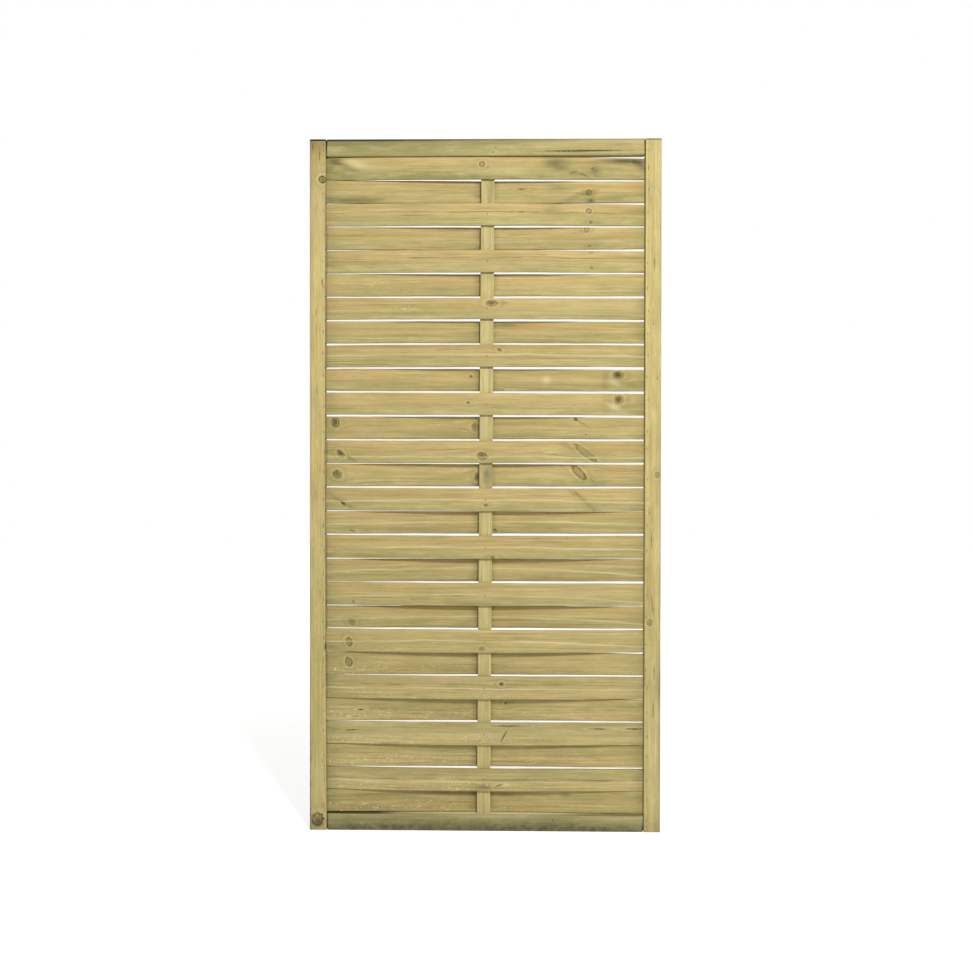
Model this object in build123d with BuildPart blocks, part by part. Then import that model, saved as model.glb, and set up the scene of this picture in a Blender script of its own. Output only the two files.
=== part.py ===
"""Woven timber fence panel.

Two grooved stiles and two rails, tenoned into the grooves, make the frame. Thin slats are sprung across
it, their ends held in the same grooves, and pass in turn in front of and behind one upright batten that
stands in mortises in the rails. Staples pin the tenons and hold each slat to the batten. Lengths are in
millimetres. The origin is the middle of the panel's underside, +X runs to the right as seen from the
front, the front faces -Y and +Z is up.
"""

import os
from math import pi, sin

from build123d import *

# Panel
panel_width = 913.0
panel_height = 1800.0

# Frame members
frame_depth = 28.0
stile_width = 42.0
rail_height = 44.0
frame_arris = 3.0
groove_depth = 12.0
shoulder_gap = 1.0

# Slats
slat_width = 58.0
slat_thickness = 9.0
slat_arris = 1.0
least_slat_gap = 2.5
slat_rail_gap = 1.5
slat_sag = 4.9
slat_creep = 6.0

# Batten, which was fixed a little out of plumb
batten_width = 35.0
batten_thickness = 10.0
batten_arris = 1.5
batten_shift_top = 7.0
batten_shift_bottom = -3.0
mortise_depth = 15.0

# Play of a slat, tenon or batten end between the walls of its seat, and short of the bottom of it
seat_clearance = 0.3
end_play = 0.8

# Staples of square wire with the crown upright, driven just below the surface
staple_crown = 6.0
staple_wire = 1.2
staple_sink = 0.4
staple_clearance = 0.05
staple_short_of_batten_face = 2.0
frame_staple_bite = 6.0
frame_staple_spacing = 16.0

# Places worked out from the sizes above
stile_inner = panel_width / 2 - stile_width
seat_end = stile_inner + groove_depth - end_play
rail_shoulder = stile_inner - shoulder_gap
rail_centres = {"bottom_rail": rail_height / 2, "top_rail": panel_height - rail_height / 2}
opening_top = panel_height - rail_height
opening_height = opening_top - rail_height

slat_stack = opening_height - 2 * slat_rail_gap
slat_count = int((slat_stack + least_slat_gap) // (slat_width + least_slat_gap))
slat_gap = (slat_stack - slat_count * slat_width) / (slat_count - 1)
slat_bow = (batten_thickness + slat_thickness) / 2

batten_low = rail_height - mortise_depth + end_play
batten_high = panel_height - batten_low
batten_lean = (batten_shift_top - batten_shift_bottom) / (batten_high - batten_low)
seat_half = batten_width / 2 + abs(batten_lean) * slat_width / 2 + seat_clearance


def batten_centre(height):
    """X of the batten's centre line at a height, on the straight line between its two ends."""
    return batten_shift_bottom + batten_lean * (height - batten_low)


def free_run(side, seat):
    """Length of a slat between the stile and the flat stretch that bears on the batten at X = seat."""
    return stile_inner - side * seat - seat_half


def end_slope(run):
    """Slope of a slat at the stile: a bar pushed out by slat_bow at one end of its run and pivoting in
    the middle of the groove at the other bends as a cubic whose slope there is this."""
    return 1.5 * slat_bow / (run + 0.75 * groove_depth)


furthest_shift = max(abs(batten_shift_top), abs(batten_shift_bottom))
groove_width = slat_thickness + end_slope(free_run(1, furthest_shift)) * groove_depth + 2 * seat_clearance


def staple(place, facing, surface, tip, clearance=0.0, mode=Mode.ADD):
    """One staple: a U of square wire at X, Z = place, driven from the face at Y = surface on the side that
    facing points to, with its legs ending at Y = tip. With a clearance and Mode.SUBTRACT it is its own
    recess, open to that face."""
    crown_face = surface - facing * (staple_sink if clearance == 0 else 0)
    crown_back = surface - facing * (staple_sink + staple_wire + clearance)
    tip = tip - facing * clearance
    legs = abs(tip - crown_face)
    between = abs(tip - crown_back)
    with BuildSketch(Plane.YZ.offset(place[0])) as outline:
        with Locations(((crown_face + tip) / 2, place[1])):
            Rectangle(legs, staple_crown + 2 * clearance)
        with Locations(((crown_back + tip) / 2, place[1])):
            Rectangle(between, staple_crown - 2 * staple_wire - 2 * clearance, mode=Mode.SUBTRACT)
    extrude(outline.sketch, amount=staple_wire / 2 + clearance, both=True, mode=mode)


def frame_staples(sides, centres, clearance=0.0, mode=Mode.ADD):
    """The staples that go through a stile's front flange and a tenon into the rear flange."""
    for side in sides:
        for centre in centres:
            for step in (-frame_staple_spacing / 2, frame_staple_spacing / 2):
                place = (side * (stile_inner + groove_depth / 2), centre + step)
                staple(place, -1, -frame_depth / 2, groove_width / 2 + frame_staple_bite, clearance, mode)


def slat_staple(number, clearance=0.0, mode=Mode.ADD):
    """The staple that goes through a slat into the batten, stopping short of the batten's far face."""
    facing = slat_facing(number)
    height = slat_underside(number) + slat_width / 2
    surface = facing * (batten_thickness / 2 + slat_thickness)
    tip = -facing * (batten_thickness / 2 - staple_short_of_batten_face)
    staple((batten_centre(height), height), facing, surface, tip, clearance, mode)


def slat_facing(number):
    """Slats are numbered from the top: odd ones pass in front of the batten, even ones behind it."""
    return -1 if number % 2 else 1


def slat_underside(number):
    """Height of a slat's lower edge. The slats were spaced by eye: against equal gaps they lie lower by one
    sine arch, slat_sag in the middle, and a whole wave, slat_creep, lifts the upper half and lowers the lower."""
    even = opening_top - slat_rail_gap - number * slat_width - (number - 1) * slat_gap
    turn = pi * number / slat_count
    return even - slat_sag * sin(turn) + slat_creep * sin(2 * turn)


def write_part(builder, name):
    """Labels a finished piece and writes it under its own name."""
    builder.part.label = name
    export_step(builder.part, f"parts/{name}.step")


os.makedirs("parts", exist_ok=True)

# Stiles: full-height uprights with a groove in the inner face for the slat ends and the tenons
for side, name in ((-1, "left_stile"), (1, "right_stile")):
    with BuildPart() as stile:
        with BuildSketch() as stile_section:
            with Locations((side * (panel_width - stile_width) / 2, 0)):
                RectangleRounded(stile_width, frame_depth, frame_arris)
            with Locations((side * (stile_inner + groove_depth / 2), 0)):
                Rectangle(groove_depth, groove_width, mode=Mode.SUBTRACT)
        extrude(amount=panel_height)
        frame_staples((side,), rail_centres.values(), staple_clearance, Mode.SUBTRACT)
    write_part(stile, name)

# Rails: between the stiles, with a stub tenon at each end and a mortise for the batten
tenon_thickness = groove_width - 2 * seat_clearance
mortise_width = batten_width + 2 * seat_clearance
mortise_thickness = batten_thickness + 2 * seat_clearance

for name, centre in rail_centres.items():
    inward = 1 if name == "bottom_rail" else -1
    inner_face = centre + inward * rail_height / 2
    with BuildPart() as rail:
        with BuildSketch(Plane.YZ):
            with Locations((0, centre)):
                RectangleRounded(frame_depth, rail_height, frame_arris)
        extrude(amount=rail_shoulder, both=True)
        with BuildSketch(Plane.YZ):
            with Locations((0, centre)):
                Rectangle(tenon_thickness, rail_height)
        extrude(amount=seat_end, both=True)
        with BuildSketch(Plane.XY.offset(inner_face)):
            with Locations((batten_centre(inner_face), 0)):
                Rectangle(mortise_width, mortise_thickness)
        extrude(amount=-inward * mortise_depth, mode=Mode.SUBTRACT)
        frame_staples((-1, 1), (centre,), staple_clearance, Mode.SUBTRACT)
    write_part(rail, name)

# Batten: the upright that the slats are woven round
batten_foot = Plane(
    origin=(batten_shift_bottom, 0, batten_low),
    x_dir=(1, 0, -batten_lean),
    z_dir=(batten_lean, 0, 1),
)
with BuildPart() as batten:
    with BuildSketch(batten_foot) as batten_section:
        Rectangle(batten_width, batten_thickness)
        chamfer(batten_section.vertices(), length=batten_arris)
    extrude(amount=batten_high - batten_low)
    for number in range(1, slat_count + 1):
        slat_staple(number, staple_clearance, Mode.SUBTRACT)
write_part(batten, "centre_batten")


# Slats: each one thin board, sprung over the batten
def slat_edge(seat, facing, face_shift):
    """A slat's long edge in plan, from the left end to the right one: straight in the groove, the cubic
    bend up to the batten, flat over it, and the same again mirrored. Returns its two end points."""
    crest = facing * slat_bow + face_shift
    ends = []
    flat = []
    for side in (-1, 1):
        run = free_run(side, seat)
        slope = end_slope(run)
        lift = (seat + side * seat_half, crest)
        mouth = (side * stile_inner, facing * slope * groove_depth / 2 + face_shift)
        third = side * run / 3
        end = (side * seat_end, face_shift - facing * slope * (groove_depth / 2 - end_play))
        Bezier(lift, (lift[0] + third, crest), (mouth[0] - third, mouth[1] + facing * slope * run / 3), mouth)
        Line(mouth, end)
        flat.append(lift)
        ends.append(end)
    Line(*flat)
    return ends


for number in range(1, slat_count + 1):
    underside = slat_underside(number)
    seat = batten_centre(underside + slat_width / 2)
    with BuildPart() as slat:
        with BuildSketch(Plane.XY.offset(underside)):
            with BuildLine():
                near_ends = slat_edge(seat, slat_facing(number), -slat_thickness / 2)
                far_ends = slat_edge(seat, slat_facing(number), slat_thickness / 2)
                for near, far in zip(near_ends, far_ends):
                    Line(near, far)
            make_face()
        extrude(amount=slat_width)
        arrises = slat.faces().filter_by(Axis.Z).edges().filter_by(lambda edge: edge.length > slat_thickness)
        chamfer(arrises, length=slat_arris)
        slat_staple(number, staple_clearance, Mode.SUBTRACT)
    write_part(slat, f"slat_{number:02d}")

# Staples: one group pins the tenons, the other holds the slats to the batten
with BuildPart() as tenon_staples:
    frame_staples((-1, 1), rail_centres.values())
write_part(tenon_staples, "tenon_staples")

with BuildPart() as batten_staples:
    for number in range(1, slat_count + 1):
        slat_staple(number)
write_part(batten_staples, "batten_staples")

print(f"{slat_count} slats, {slat_gap:.2f} mm apart, groove {groove_width:.2f} mm wide")
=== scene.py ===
"""Woven timber fence panel: the visual model of a pressure-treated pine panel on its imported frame.

Lengths are in millimetres until a mesh is made. The front faces -Y, +X is to the right and +Z is up.
"""

import bpy
import numpy as np
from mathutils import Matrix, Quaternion, Vector


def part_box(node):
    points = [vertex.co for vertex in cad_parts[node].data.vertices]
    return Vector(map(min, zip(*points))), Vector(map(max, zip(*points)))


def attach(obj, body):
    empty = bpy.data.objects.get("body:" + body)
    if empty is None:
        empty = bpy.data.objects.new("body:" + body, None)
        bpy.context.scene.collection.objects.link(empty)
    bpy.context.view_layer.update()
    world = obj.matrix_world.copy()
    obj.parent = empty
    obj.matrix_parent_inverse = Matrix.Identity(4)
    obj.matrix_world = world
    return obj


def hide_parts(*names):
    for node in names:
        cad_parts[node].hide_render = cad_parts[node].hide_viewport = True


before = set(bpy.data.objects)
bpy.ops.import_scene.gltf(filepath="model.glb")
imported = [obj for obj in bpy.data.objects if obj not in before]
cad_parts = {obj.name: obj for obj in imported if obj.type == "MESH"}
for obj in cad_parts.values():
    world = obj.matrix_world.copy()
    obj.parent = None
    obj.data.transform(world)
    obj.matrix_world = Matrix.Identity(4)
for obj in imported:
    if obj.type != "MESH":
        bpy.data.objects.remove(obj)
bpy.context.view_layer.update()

# Stiles: two full-height uprights of sawn pine, pressure treated to a greenish tan. Each has a groove
# planed in its inner face, which takes the slat ends and the tenons of the rails.
metres = 0.001


def box_of(piece):
    """The low and the high corner of a piece of the CAD, in millimetres."""
    return np.array(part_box(piece)) / metres


stile_low, stile_high = box_of("right_stile")
stile_inner = stile_low[0]
stile_outer = stile_high[0]
frame_half_depth = stile_high[1]
panel_height = stile_high[2]
groove_depth = 12.0
groove_half_width = 5.0
frame_arris = 3.0
face_wear = 0.3
inner_arris = 1.6
groove_lip_ease = 0.8
groove_floor_ease = 0.4
stile_step = 4.0
stile_split = 2.6


def srgb(red, green, blue):
    """A colour written as 0 to 255 in the usual screen values, as the linear colour that a shader takes."""
    part = np.array([red, green, blue]) / 255
    linear = np.where(part <= 0.04045, part / 12.92, ((part + 0.055) / 1.055) ** 2.4)
    return (*linear.tolist(), 1.0)


def eased_outline(corners, ease, step, bends=4):
    """Closed outline through the corners, in order: each corner is a parabola that starts and ends the
    length ease away from it, and the straight runs between are split into steps."""
    corners = np.array(corners, float)
    onward = np.roll(corners, -1, axis=0) - corners
    onward /= np.linalg.norm(onward, axis=1, keepdims=True)
    ease = np.broadcast_to(np.reshape(ease, (-1, 1)), (len(corners), 1))
    arrive = corners - np.roll(onward, 1, axis=0) * ease
    leave = corners + onward * ease
    u = np.linspace(0.0, 1.0, bends)[:, None]
    points = []
    for number, corner in enumerate(corners):
        points.append((1 - u) ** 2 * arrive[number] + 2 * u * (1 - u) * corner + u ** 2 * leave[number])
        run = arrive[(number + 1) % len(corners)] - leave[number]
        count = max(int(np.linalg.norm(run) / step), 1)
        points.append(leave[number] + run * np.arange(1, count)[:, None] / count)
    return np.concatenate(points)


def soft_line(t, seed, size, waves=(3, 7, 13)):
    """A gentle waver along t, from 0 to 1: a sum of sines of the given numbers of waves with seeded phases,
    each one weaker as its waves get shorter, of about the given size."""
    phases = np.random.default_rng(seed).uniform(0, 2 * np.pi, len(waves))
    return size * sum(
        np.sin(2 * np.pi * count * t + phase) / (1 + place)
        for place, (count, phase) in enumerate(zip(waves, phases))
    )


def bent_line(t, first, middle, last):
    """The parabola through three values, at t = -1, 0 and 1."""
    return middle + (last - first) / 2 * t + ((first + last) / 2 - middle) * t ** 2


def ramp(value, start, end):
    """Goes evenly from 0 to 1 as value goes from start to end, and stays level beyond them."""
    return np.clip((value - start) / (end - start), 0, 1)


def bell(value, middle, half, power=2):
    """A bell curve: e to the minus distance from the middle, counted in half widths, to a power."""
    return np.exp(-((value - middle) / half) ** power)


def crowded(values, places, reach, extra):
    """The values, moved so that they lie closer together round the places: their spread follows the running
    sum of one plus a bell curve of the given reach, extra high, at each place. The first and last values
    stay."""
    samples = 2000
    fine = np.linspace(values.min(), values.max(), samples)
    bells = sum((bell(fine, place, reach) for place in places), np.zeros(samples))
    total = np.cumsum(1.0 + extra * np.minimum(bells, 1.0))
    even = (values - fine[0]) / (fine[-1] - fine[0]) * (total[-1] - total[0]) + total[0]
    return np.interp(even, total, fine)


def turned(far, high, degrees=0.0):
    """Offsets seen in axes that are turned to the left by some degrees."""
    angle = np.radians(degrees)
    return far * np.cos(angle) + high * np.sin(angle), high * np.cos(angle) - far * np.sin(angle)


# Kinds of stain and of line that a board may have, each an attribute of its mesh. Shade is painted shade, and
# some of the dark and pale marks are painted shade and painted highlight too.
stain_and_shade_kinds = ("olive", "warm", "dark", "mildew", "pale", "fleck", "shade")
line_kinds = ("pale_line", "dark_line")


def grain_marks(along, across, depth, seed, ring_gap, pith, taper, knots=(), stains=(), lines=()):
    """Values at each point that its timber's colour follows. The grain runs along the board and parts round
    the knots as a stream parts round a post: across moves towards a knot's axis by its offset over the
    squared distance, counted in knot radii. Ring is the distance from the pith in year rings, and grows
    along the board with the tree's taper. A knot is (along, across, half length, half height, darkness,
    rim), and is kept as the distance from the nearest one, in its own radii. A stain is (kind, along,
    across, half length, half height, strength) and fades as a bell curve. A line is (kind, height of its
    middle, half height) and is kept as the distance from it. Knots and stains may end with a turn in
    degrees, and a knot's side says how far a point lies to its lower right."""
    far_from_knots = 4.0
    far_from_lines = 9.0
    stream_long, stream_high = 2.2, 1.1
    side_limit = 2.0
    offset_span = 900
    bent = across.astype(float).copy()
    knot = np.full(along.shape, far_from_knots)
    knot_tone = np.zeros(along.shape)
    knot_rim = np.zeros(along.shape)
    knot_side = np.zeros(along.shape)
    for at, up, half_long, half_high, tone, rim, *turn in knots:
        far, high = turned(along - at, across - up, *turn)
        distance = np.hypot(far / half_long, high / half_high)
        stream = np.hypot((along - at) / (stream_long * half_long), (across - up) / (stream_high * half_high))
        bent -= (across - up) / np.maximum(stream, 1.0) ** 2
        side = np.clip(far / half_long - high / half_high, -side_limit, side_limit)
        nearest = distance < knot
        knot_tone = np.where(nearest, tone, knot_tone)
        knot_rim = np.where(nearest, rim, knot_rim)
        knot_side = np.where(nearest, side, knot_side)
        knot = np.minimum(knot, distance)
    offset = np.random.default_rng(seed).uniform(0, offset_span, 3)
    grain = np.stack([along + offset[0], bent + offset[1], depth + offset[2]], axis=-1) * metres
    ring = (np.hypot(bent - pith[0], depth - pith[1]) + taper * along) / ring_gap + offset[0]
    marks = {"grain": grain, "ring": ring, "knot": knot, "knot_tone": knot_tone, "knot_rim": knot_rim,
             "knot_side": knot_side}
    for kind in stain_and_shade_kinds:
        marks[kind] = np.zeros(along.shape)
    for kind in line_kinds:
        marks[kind] = np.full(along.shape, far_from_lines)
    for kind, at, up, half_long, half_high, strength, *turn in stains:
        far, high = turned(along - at, across - up, *turn)
        marks[kind] += strength * np.exp(-(far / half_long) ** 2 - (high / half_high) ** 2)
    for kind, middle, half_high in lines:
        marks[kind] = (across - middle) / half_high
    return marks


def tube_faces(index):
    """Quads that join neighbouring rings, from the numbers of the points by station and place around."""
    beside = np.roll(index, -1, axis=-1)
    corners = [index[..., :-1, :], beside[..., :-1, :], beside[..., 1:, :], index[..., 1:, :]]
    return np.stack(corners, axis=-1).reshape(-1, 4)


def new_object(name, data):
    """An object of the mesh, lamp or camera data, at the scene's origin."""
    thing = bpy.data.objects.new(name, data)
    bpy.context.scene.collection.objects.link(thing)
    return thing


def board_object(name, rings, marks, material):
    """A closed board from rings of points, one ring at each station along it: neighbouring rings are joined
    by quads, and the first and the last ring are each closed by one flat end face. The marks become
    attributes of its points."""
    stations, around = rings.shape[:2]
    index = np.arange(stations * around).reshape(stations, around)
    sides = tube_faces(index)
    mesh = bpy.data.meshes.new(name)
    mesh.from_pydata((rings.reshape(-1, 3) * metres).tolist(), [],
                     sides.tolist() + [index[0][::-1].tolist(), index[-1].tolist()])
    smooth = np.ones(len(sides) + 2, bool)
    smooth[-2:] = False
    mesh.polygons.foreach_set("use_smooth", smooth)
    for mark, values in marks.items():
        kind, field = ("FLOAT_VECTOR", "vector") if values.ndim == 3 else ("FLOAT", "value")
        mesh.attributes.new(mark, kind, "POINT").data.foreach_set(field, values.astype(np.float32).ravel())
    end_grain = mesh.attributes.new("end_grain", "FLOAT", "FACE")
    end_grain.data.foreach_set("value", (~smooth).astype(np.float32))
    mesh.materials.append(material)
    board = new_object(name, mesh)
    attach(board, "root")
    return board


def node(tree, kind, sockets=None, **settings):
    """Adds a shader node with its settings, and fills its input sockets, by name or number, with values or
    links."""
    new = tree.nodes.new("ShaderNode" + kind)
    for key, value in settings.items():
        setattr(new, key, value)
    for key, value in (sockets or {}).items():
        if isinstance(value, bpy.types.NodeSocket):
            tree.links.new(value, new.inputs[key])
        else:
            new.inputs[key].default_value = value
    return new


def new_material(name):
    """A new material, its node tree and its shader."""
    material = bpy.data.materials.new(name)
    material.use_nodes = True
    return material, material.node_tree, material.node_tree.nodes["Principled BSDF"]


def math(tree, operation, first, second=0.0):
    """The result of one Math node."""
    return node(tree, "Math", {0: first, 1: second}, operation=operation).outputs[0]


def product(tree, first, *others):
    """The product of values, by one Math node for each after the first."""
    for other in others:
        first = math(tree, "MULTIPLY", first, other)
    return first


def rise(tree, value, start, end, low=0.0, high=1.0):
    """A smooth step from low to high as value goes from start to end."""
    sockets = {"Value": value, "From Min": start, "From Max": end, "To Min": low, "To Max": high}
    return node(tree, "MapRange", sockets, interpolation_type="SMOOTHSTEP").outputs["Result"]


def mix(tree, factor, first, second, blend="MIX"):
    """The colour of one Mix node."""
    return node(tree, "Mix", {0: factor, 6: first, 7: second}, data_type="RGBA", blend_type=blend).outputs[2]


def layered(tree, colour, *layers):
    """A colour with others laid over it in turn, each given with its amount first."""
    for amount, layer in layers:
        colour = mix(tree, amount, colour, layer)
    return colour


def stretched_noise(tree, vector, scales, detail=2.0, roughness=0.5):
    """Noise drawn out along the grain: the vector is multiplied by one scale per axis first."""
    scaled = node(tree, "VectorMath", {0: vector, 1: scales}, operation="MULTIPLY").outputs[0]
    sockets = {"Vector": scaled, "Scale": 1.0, "Detail": detail, "Roughness": roughness}
    return node(tree, "TexNoise", sockets).outputs["Fac"]


def shader_group(name, inputs, outputs):
    """A new node group with sockets named by their kinds: returns it, its input node's sockets and its
    output node's."""
    group = bpy.data.node_groups.new(name, "ShaderNodeTree")
    for side, sockets in (("INPUT", inputs), ("OUTPUT", outputs)):
        for kind, labels in sockets.items():
            for label in labels:
                group.interface.new_socket(label, in_out=side, socket_type="NodeSocket" + kind)
    return group, group.nodes.new("NodeGroupInput").outputs, group.nodes.new("NodeGroupOutput").inputs


def socket_title(kind):
    """The name of the group socket that takes the mark of a kind, such as Pale Line for pale_line."""
    return kind.replace("_", " ").title()


# Pine grain: broad and narrow streaks of sapwood, short brown dashes, and year rings that end in a thin
# dark line, strong in some years and broken along the board
pine_grain, given, result = shader_group(
    "pine grain",
    {"Vector": ["Grain"], "Float": ["Ring", "Ring Strength", "Dash Strength"],
     "Color": ["Sapwood", "Streak", "Light", "Latewood"]},
    {"Color": ["Color"], "Float": ["Height"]},
)
tree = pine_grain
broad = stretched_noise(tree, given["Grain"], (2.5, 70, 70), 3.0, 0.6)
streaks = stretched_noise(tree, given["Grain"], (5.0, 240, 240), 3.0, 0.6)
dashes = stretched_noise(tree, given["Grain"], (18, 360, 360), 2.0, 0.6)
fibres = stretched_noise(tree, given["Grain"], (55, 800, 800), 3.0, 0.65)
clouds = stretched_noise(tree, given["Grain"], (11, 30, 30), 3.0)
waver = stretched_noise(tree, given["Grain"], (2.0, 30, 30), 2.0)
year = math(tree, "ADD", given["Ring"], product(tree, waver, 0.9))
season = math(tree, "FRACT", year)
strong_year = node(tree, "TexWhiteNoise", {"W": math(tree, "FLOOR", year)}, noise_dimensions="1D")
strength = math(tree, "POWER", strong_year.outputs["Value"], 5.0)
late = product(tree, rise(tree, season, 0.45, 0.9), rise(tree, season, 1.0, 0.92))
late_line = product(tree, late, strength, rise(tree, clouds, 0.36, 0.62, 0.1, 1.0))
dash = product(tree, rise(tree, dashes, 0.58, 0.74), given["Dash Strength"])
wood = layered(
    tree, given["Sapwood"],
    (rise(tree, broad, 0.38, 0.62), given["Streak"]),
    (rise(tree, streaks, 0.5, 0.74, 0.0, 0.8), given["Light"]),
    (rise(tree, streaks, 0.46, 0.24, 0.0, 0.7), given["Latewood"]),
    (product(tree, late_line, given["Ring Strength"]), given["Latewood"]),
    (dash, given["Latewood"]),
    (rise(tree, dashes, 0.42, 0.26, 0.0, 0.5), given["Light"]),
)
fibre_shade = rise(tree, fibres, 0.25, 0.75, 0.89, 1.1)
cloud_shade = rise(tree, clouds, 0.3, 0.7, 0.93, 1.06)
shade = product(tree, fibre_shade, cloud_shade)
grey = node(tree, "CombineColor", {0: shade, 1: shade, 2: shade}).outputs[0]
tree.links.new(mix(tree, 1.0, wood, grey, "MULTIPLY"), result["Color"])
height = math(tree, "ADD", fibres, product(tree, late_line, 0.6))
tree.links.new(height, result["Height"])

# Knots: a thin broken rim of bark round olive wood, a dark heart that leans to the upper left, and beyond
# the rim a pale crescent where the grain turns
pine_knots, given, result = shader_group(
    "pine knots",
    {"Vector": ["Place"], "Float": ["Knot", "Tone", "Rim", "Side"],
     "Color": ["Color", "Heart", "Bark", "Light"]},
    {"Color": ["Color"], "Float": ["Height"]},
)
tree = pine_knots
ragged = stretched_noise(tree, given["Place"], (150, 150, 150), 4.0, 0.6)
broken = stretched_noise(tree, given["Place"], (90, 90, 90), 3.0)
uneven = product(tree, math(tree, "SUBTRACT", ragged, 0.5), 0.9)
edge = math(tree, "ADD", given["Knot"], uneven)
inside = rise(tree, edge, 1.1, 0.85)
rim_band = product(tree, rise(tree, edge, 0.66, 0.86), rise(tree, edge, 1.2, 0.98))
rim_line = product(tree, rim_band, given["Rim"], rise(tree, broken, 0.36, 0.56, 0.5, 1.0))
heart_edge = math(tree, "ADD", edge, product(tree, given["Side"], 0.16))
heart = product(tree, rise(tree, heart_edge, 0.86, 0.4), given["Tone"])
ripple = math(tree, "SINE", product(tree, edge, 14.0))
inner_rings = product(tree, rise(tree, ripple, 0.1, 1.0, 0.0, 0.3), product(tree, inside, given["Rim"]))
dark_knot = math(tree, "MAXIMUM", math(tree, "MAXIMUM", rim_line, heart), inner_rings)
marked = math(tree, "MAXIMUM", given["Tone"], given["Rim"])
crescent = product(tree, rise(tree, edge, 1.1, 1.4), rise(tree, edge, 2.1, 1.5),
                   rise(tree, broken, 0.45, 0.6, 0.1, 0.5))
shadow_arc = product(tree, rise(tree, edge, 1.5, 2.1), rise(tree, edge, 3.0, 2.2, 0.0, 0.3))
olive_wood = product(tree, inside, product(tree, marked, 0.6))
knotted = layered(
    tree, given["Color"],
    (product(tree, shadow_arc, marked), given["Heart"]),
    (product(tree, crescent, marked), given["Light"]),
    (olive_wood, given["Heart"]),
    (dark_knot, given["Bark"]),
)
tree.links.new(knotted, result["Color"])
tree.links.new(product(tree, rim_line, -0.7), result["Height"])

# Weathering and painted shade: green of the treatment, dark water stains and mildew, pale salt flecks, and
# broad painted shade
weathering_and_shade, given, result = shader_group(
    "weathering_and_shade",
    {"Vector": ["Grain", "Place"], "Float": [socket_title(kind) for kind in stain_and_shade_kinds + line_kinds],
     "Color": ["Color", "Olive Colour", "Warm Colour", "Pale Colour", "Stain Colour", "Mildew Colour",
               "Fleck Colour"]},
    {"Color": ["Color"], "Float": ["Roughness"]},
)
tree = weathering_and_shade
blotches = stretched_noise(tree, given["Grain"], (18, 70, 70), 3.0, 0.6)
specks = stretched_noise(tree, given["Grain"], (130, 420, 420), 2.0)
tide = stretched_noise(tree, given["Grain"], (7, 55, 55), 3.0)
olive = product(tree, given["Olive"], rise(tree, blotches, 0.3, 0.65, 0.35, 1.0))
warm = product(tree, given["Warm"], rise(tree, blotches, 0.65, 0.3, 0.4, 1.0))
dark = product(tree, given["Dark"], rise(tree, tide, 0.3, 0.62, 0.3, 1.0))
from_pale, from_dark = (math(tree, "ABSOLUTE", given[socket_title(kind)]) for kind in line_kinds)
pale_line = product(tree, rise(tree, from_pale, 1.5, 0.2, 0.0, 0.5), rise(tree, tide, 0.3, 0.6, 0.35, 1.0))
dark_line = product(tree, rise(tree, from_dark, 1.5, 0.2, 0.0, 0.5),
                    rise(tree, blotches, 0.35, 0.6, 0.2, 1.0))
mould = stretched_noise(tree, given["Place"], (60, 90, 90), 5.0, 0.7)
mildew = product(tree, given["Mildew"], rise(tree, mould, 0.34, 0.64, 0.5, 1.0))
fleck = product(tree, rise(tree, specks, 0.585, 0.67), given["Fleck"], rise(tree, blotches, 0.42, 0.55))
pale = math(tree, "MAXIMUM", given["Pale"], pale_line)
dark = math(tree, "MAXIMUM", dark, dark_line)
stained_and_shaded = layered(
    tree, given["Color"],
    (warm, given["Warm Colour"]),
    (olive, given["Olive Colour"]),
    (pale, given["Pale Colour"]),
    (dark, given["Stain Colour"]),
    (mildew, given["Mildew Colour"]),
    (fleck, given["Fleck Colour"]),
    # Painted shade: the Shade mark takes the colour towards black
    (given["Shade"], (0.0, 0.0, 0.0, 1.0)),
)
tree.links.new(stained_and_shaded, result["Color"])
tree.links.new(rise(tree, blotches, 0.2, 0.8, 0.72, 0.9), result["Roughness"])


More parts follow.
